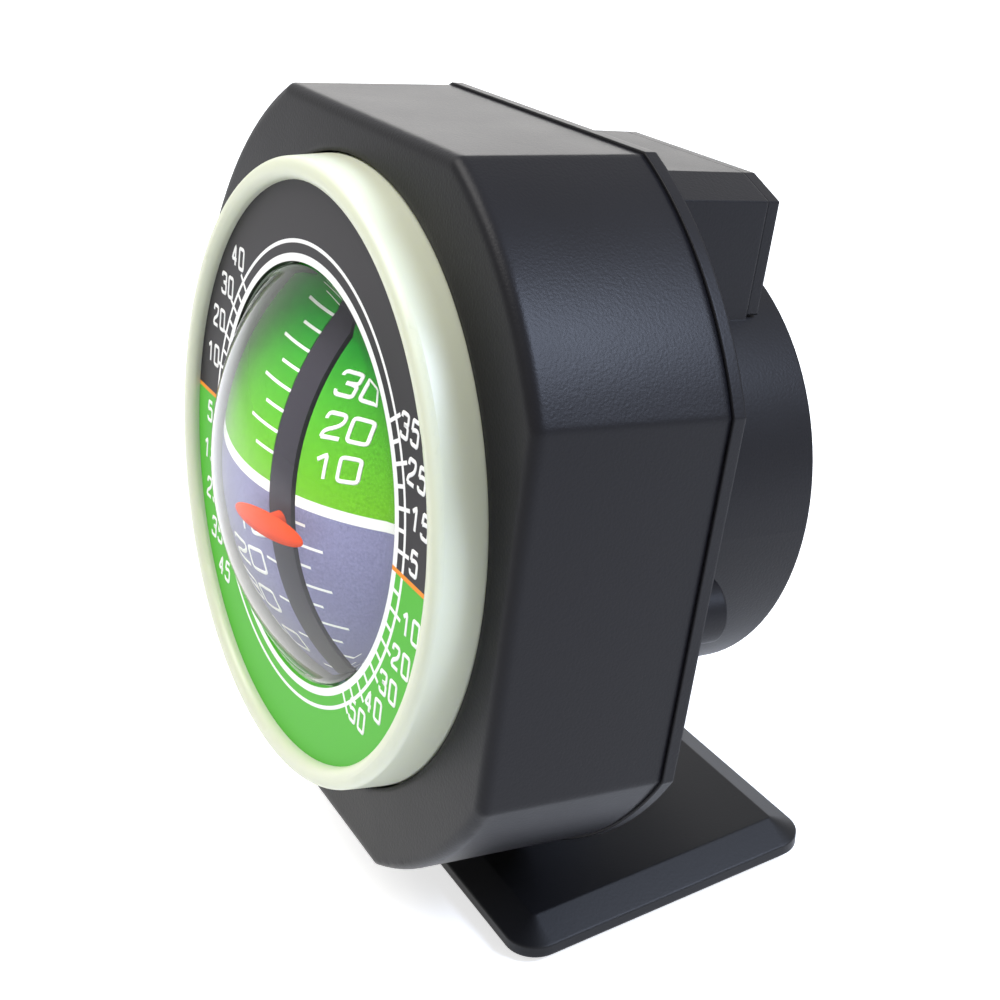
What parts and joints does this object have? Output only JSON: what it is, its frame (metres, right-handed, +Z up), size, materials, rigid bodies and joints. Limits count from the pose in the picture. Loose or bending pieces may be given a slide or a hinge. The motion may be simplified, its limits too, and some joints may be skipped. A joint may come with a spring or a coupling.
{
  "type": "dashboard inclinometer",
  "caption": "Dashboard inclinometer: leaning square case with a pale ring, a two-scale dial and a floating ball in a clear dome, on a small swivel foot.",
  "frame": {"origin": "middle of the foot's underside", "axes": "+Z up, square to the foot; +X to the right of someone who reads the dial; the dial faces -Y"},
  "size_m": [0.063, 0.0484, 0.0696],
  "materials": {
    "black_plastic": "fine satin texture",
    "case_plastic": "matte black with a fine moulded grain",
    "pad_foam": "foam tape",
    "steel": "plain",
    "washer_plastic": "plain",
    "glow_plastic": "pale luminous plastic",
    "dial_print": "printed in black, green, orange and white",
    "clear_plastic": "clear",
    "bowl_plastic": "smooth",
    "seal_rubber": "plain",
    "brass": "plain",
    "switch_plastic": "plain",
    "cell_steel": "plain",
    "board": "lacquered",
    "lamp_lens": "milky",
    "gimbal_black": "glossy black",
    "pointer_orange": "glossy orange",
    "ball_plastic": "green above, grey below, with printed scales",
    "cover_plastic": "plain"
  },
  "bodies": {
    "base": {"base_plate": "black_plastic", "adhesive_pad": "pad_foam"},
    "swivel": {"swivel_fork": "black_plastic", "swivel_screw": "steel", "swivel_washer": "steel", "tilt_bolt": "steel", "tilt_nut": "steel"},
    "case": {"front_housing": "case_plastic", "rear_cover": "case_plastic", "glow_ring": "glow_plastic", "dial_plate": "dial_print", "clear_dome": "clear_plastic", "capsule_bowl": "bowl_plastic", "capsule_seal": "seal_rubber", "filler_plug": "seal_rubber", "roll_bearing": "brass", "capsule_clamp": "case_plastic", "clamp_screws": "steel", "case_screws": "steel", "lamp_box_lid": "case_plastic", "lid_screws": "steel", "coin_cells": "cell_steel", "cell_contacts": "brass", "lamp_board": "board", "lamp_led": "lamp_lens", "tilt_washers": "washer_plastic"},
    "switch": {"switch_slider": "switch_plastic"},
    "gimbal": {"roll_gimbal": "gimbal_black", "pointer_wing": "pointer_orange", "roll_spindle": "steel", "pitch_bush": "brass"},
    "ball": {"right_ball_half": "ball_plastic", "left_ball_half": "ball_plastic", "right_half_cover": "cover_plastic", "left_half_cover": "cover_plastic", "pitch_shaft": "steel", "ball_weights": "brass"}
  },
  "joints": [
    {"name": "swivel_turn", "type": "hinge", "parent": "base", "child": "swivel", "pos_m": [0, 0, 0.0033], "axis": [0, 0, 1], "range_deg": [-90, 90]},
    {"name": "case_tilt", "type": "hinge", "parent": "swivel", "child": "case", "pos_m": [0, 0, 0.0098], "axis": [1, 0, 0], "range_deg": [-25, 6]},
    {"name": "ball_roll", "type": "hinge", "parent": "case", "child": "gimbal", "pos_m": [0, -0.00414, 0.03673], "axis": [0, 0.9877, -0.1564], "continuous": true},
    {"name": "ball_pitch", "type": "hinge", "parent": "gimbal", "child": "ball", "pos_m": [0, -0.00414, 0.03673], "axis": [0.9968, 0.0125, 0.0792], "continuous": true},
    {"name": "lamp_switch", "type": "slide", "parent": "case", "child": "switch", "axis": [1, 0, 0], "range_m": [0, 0.0031]}
  ]
}
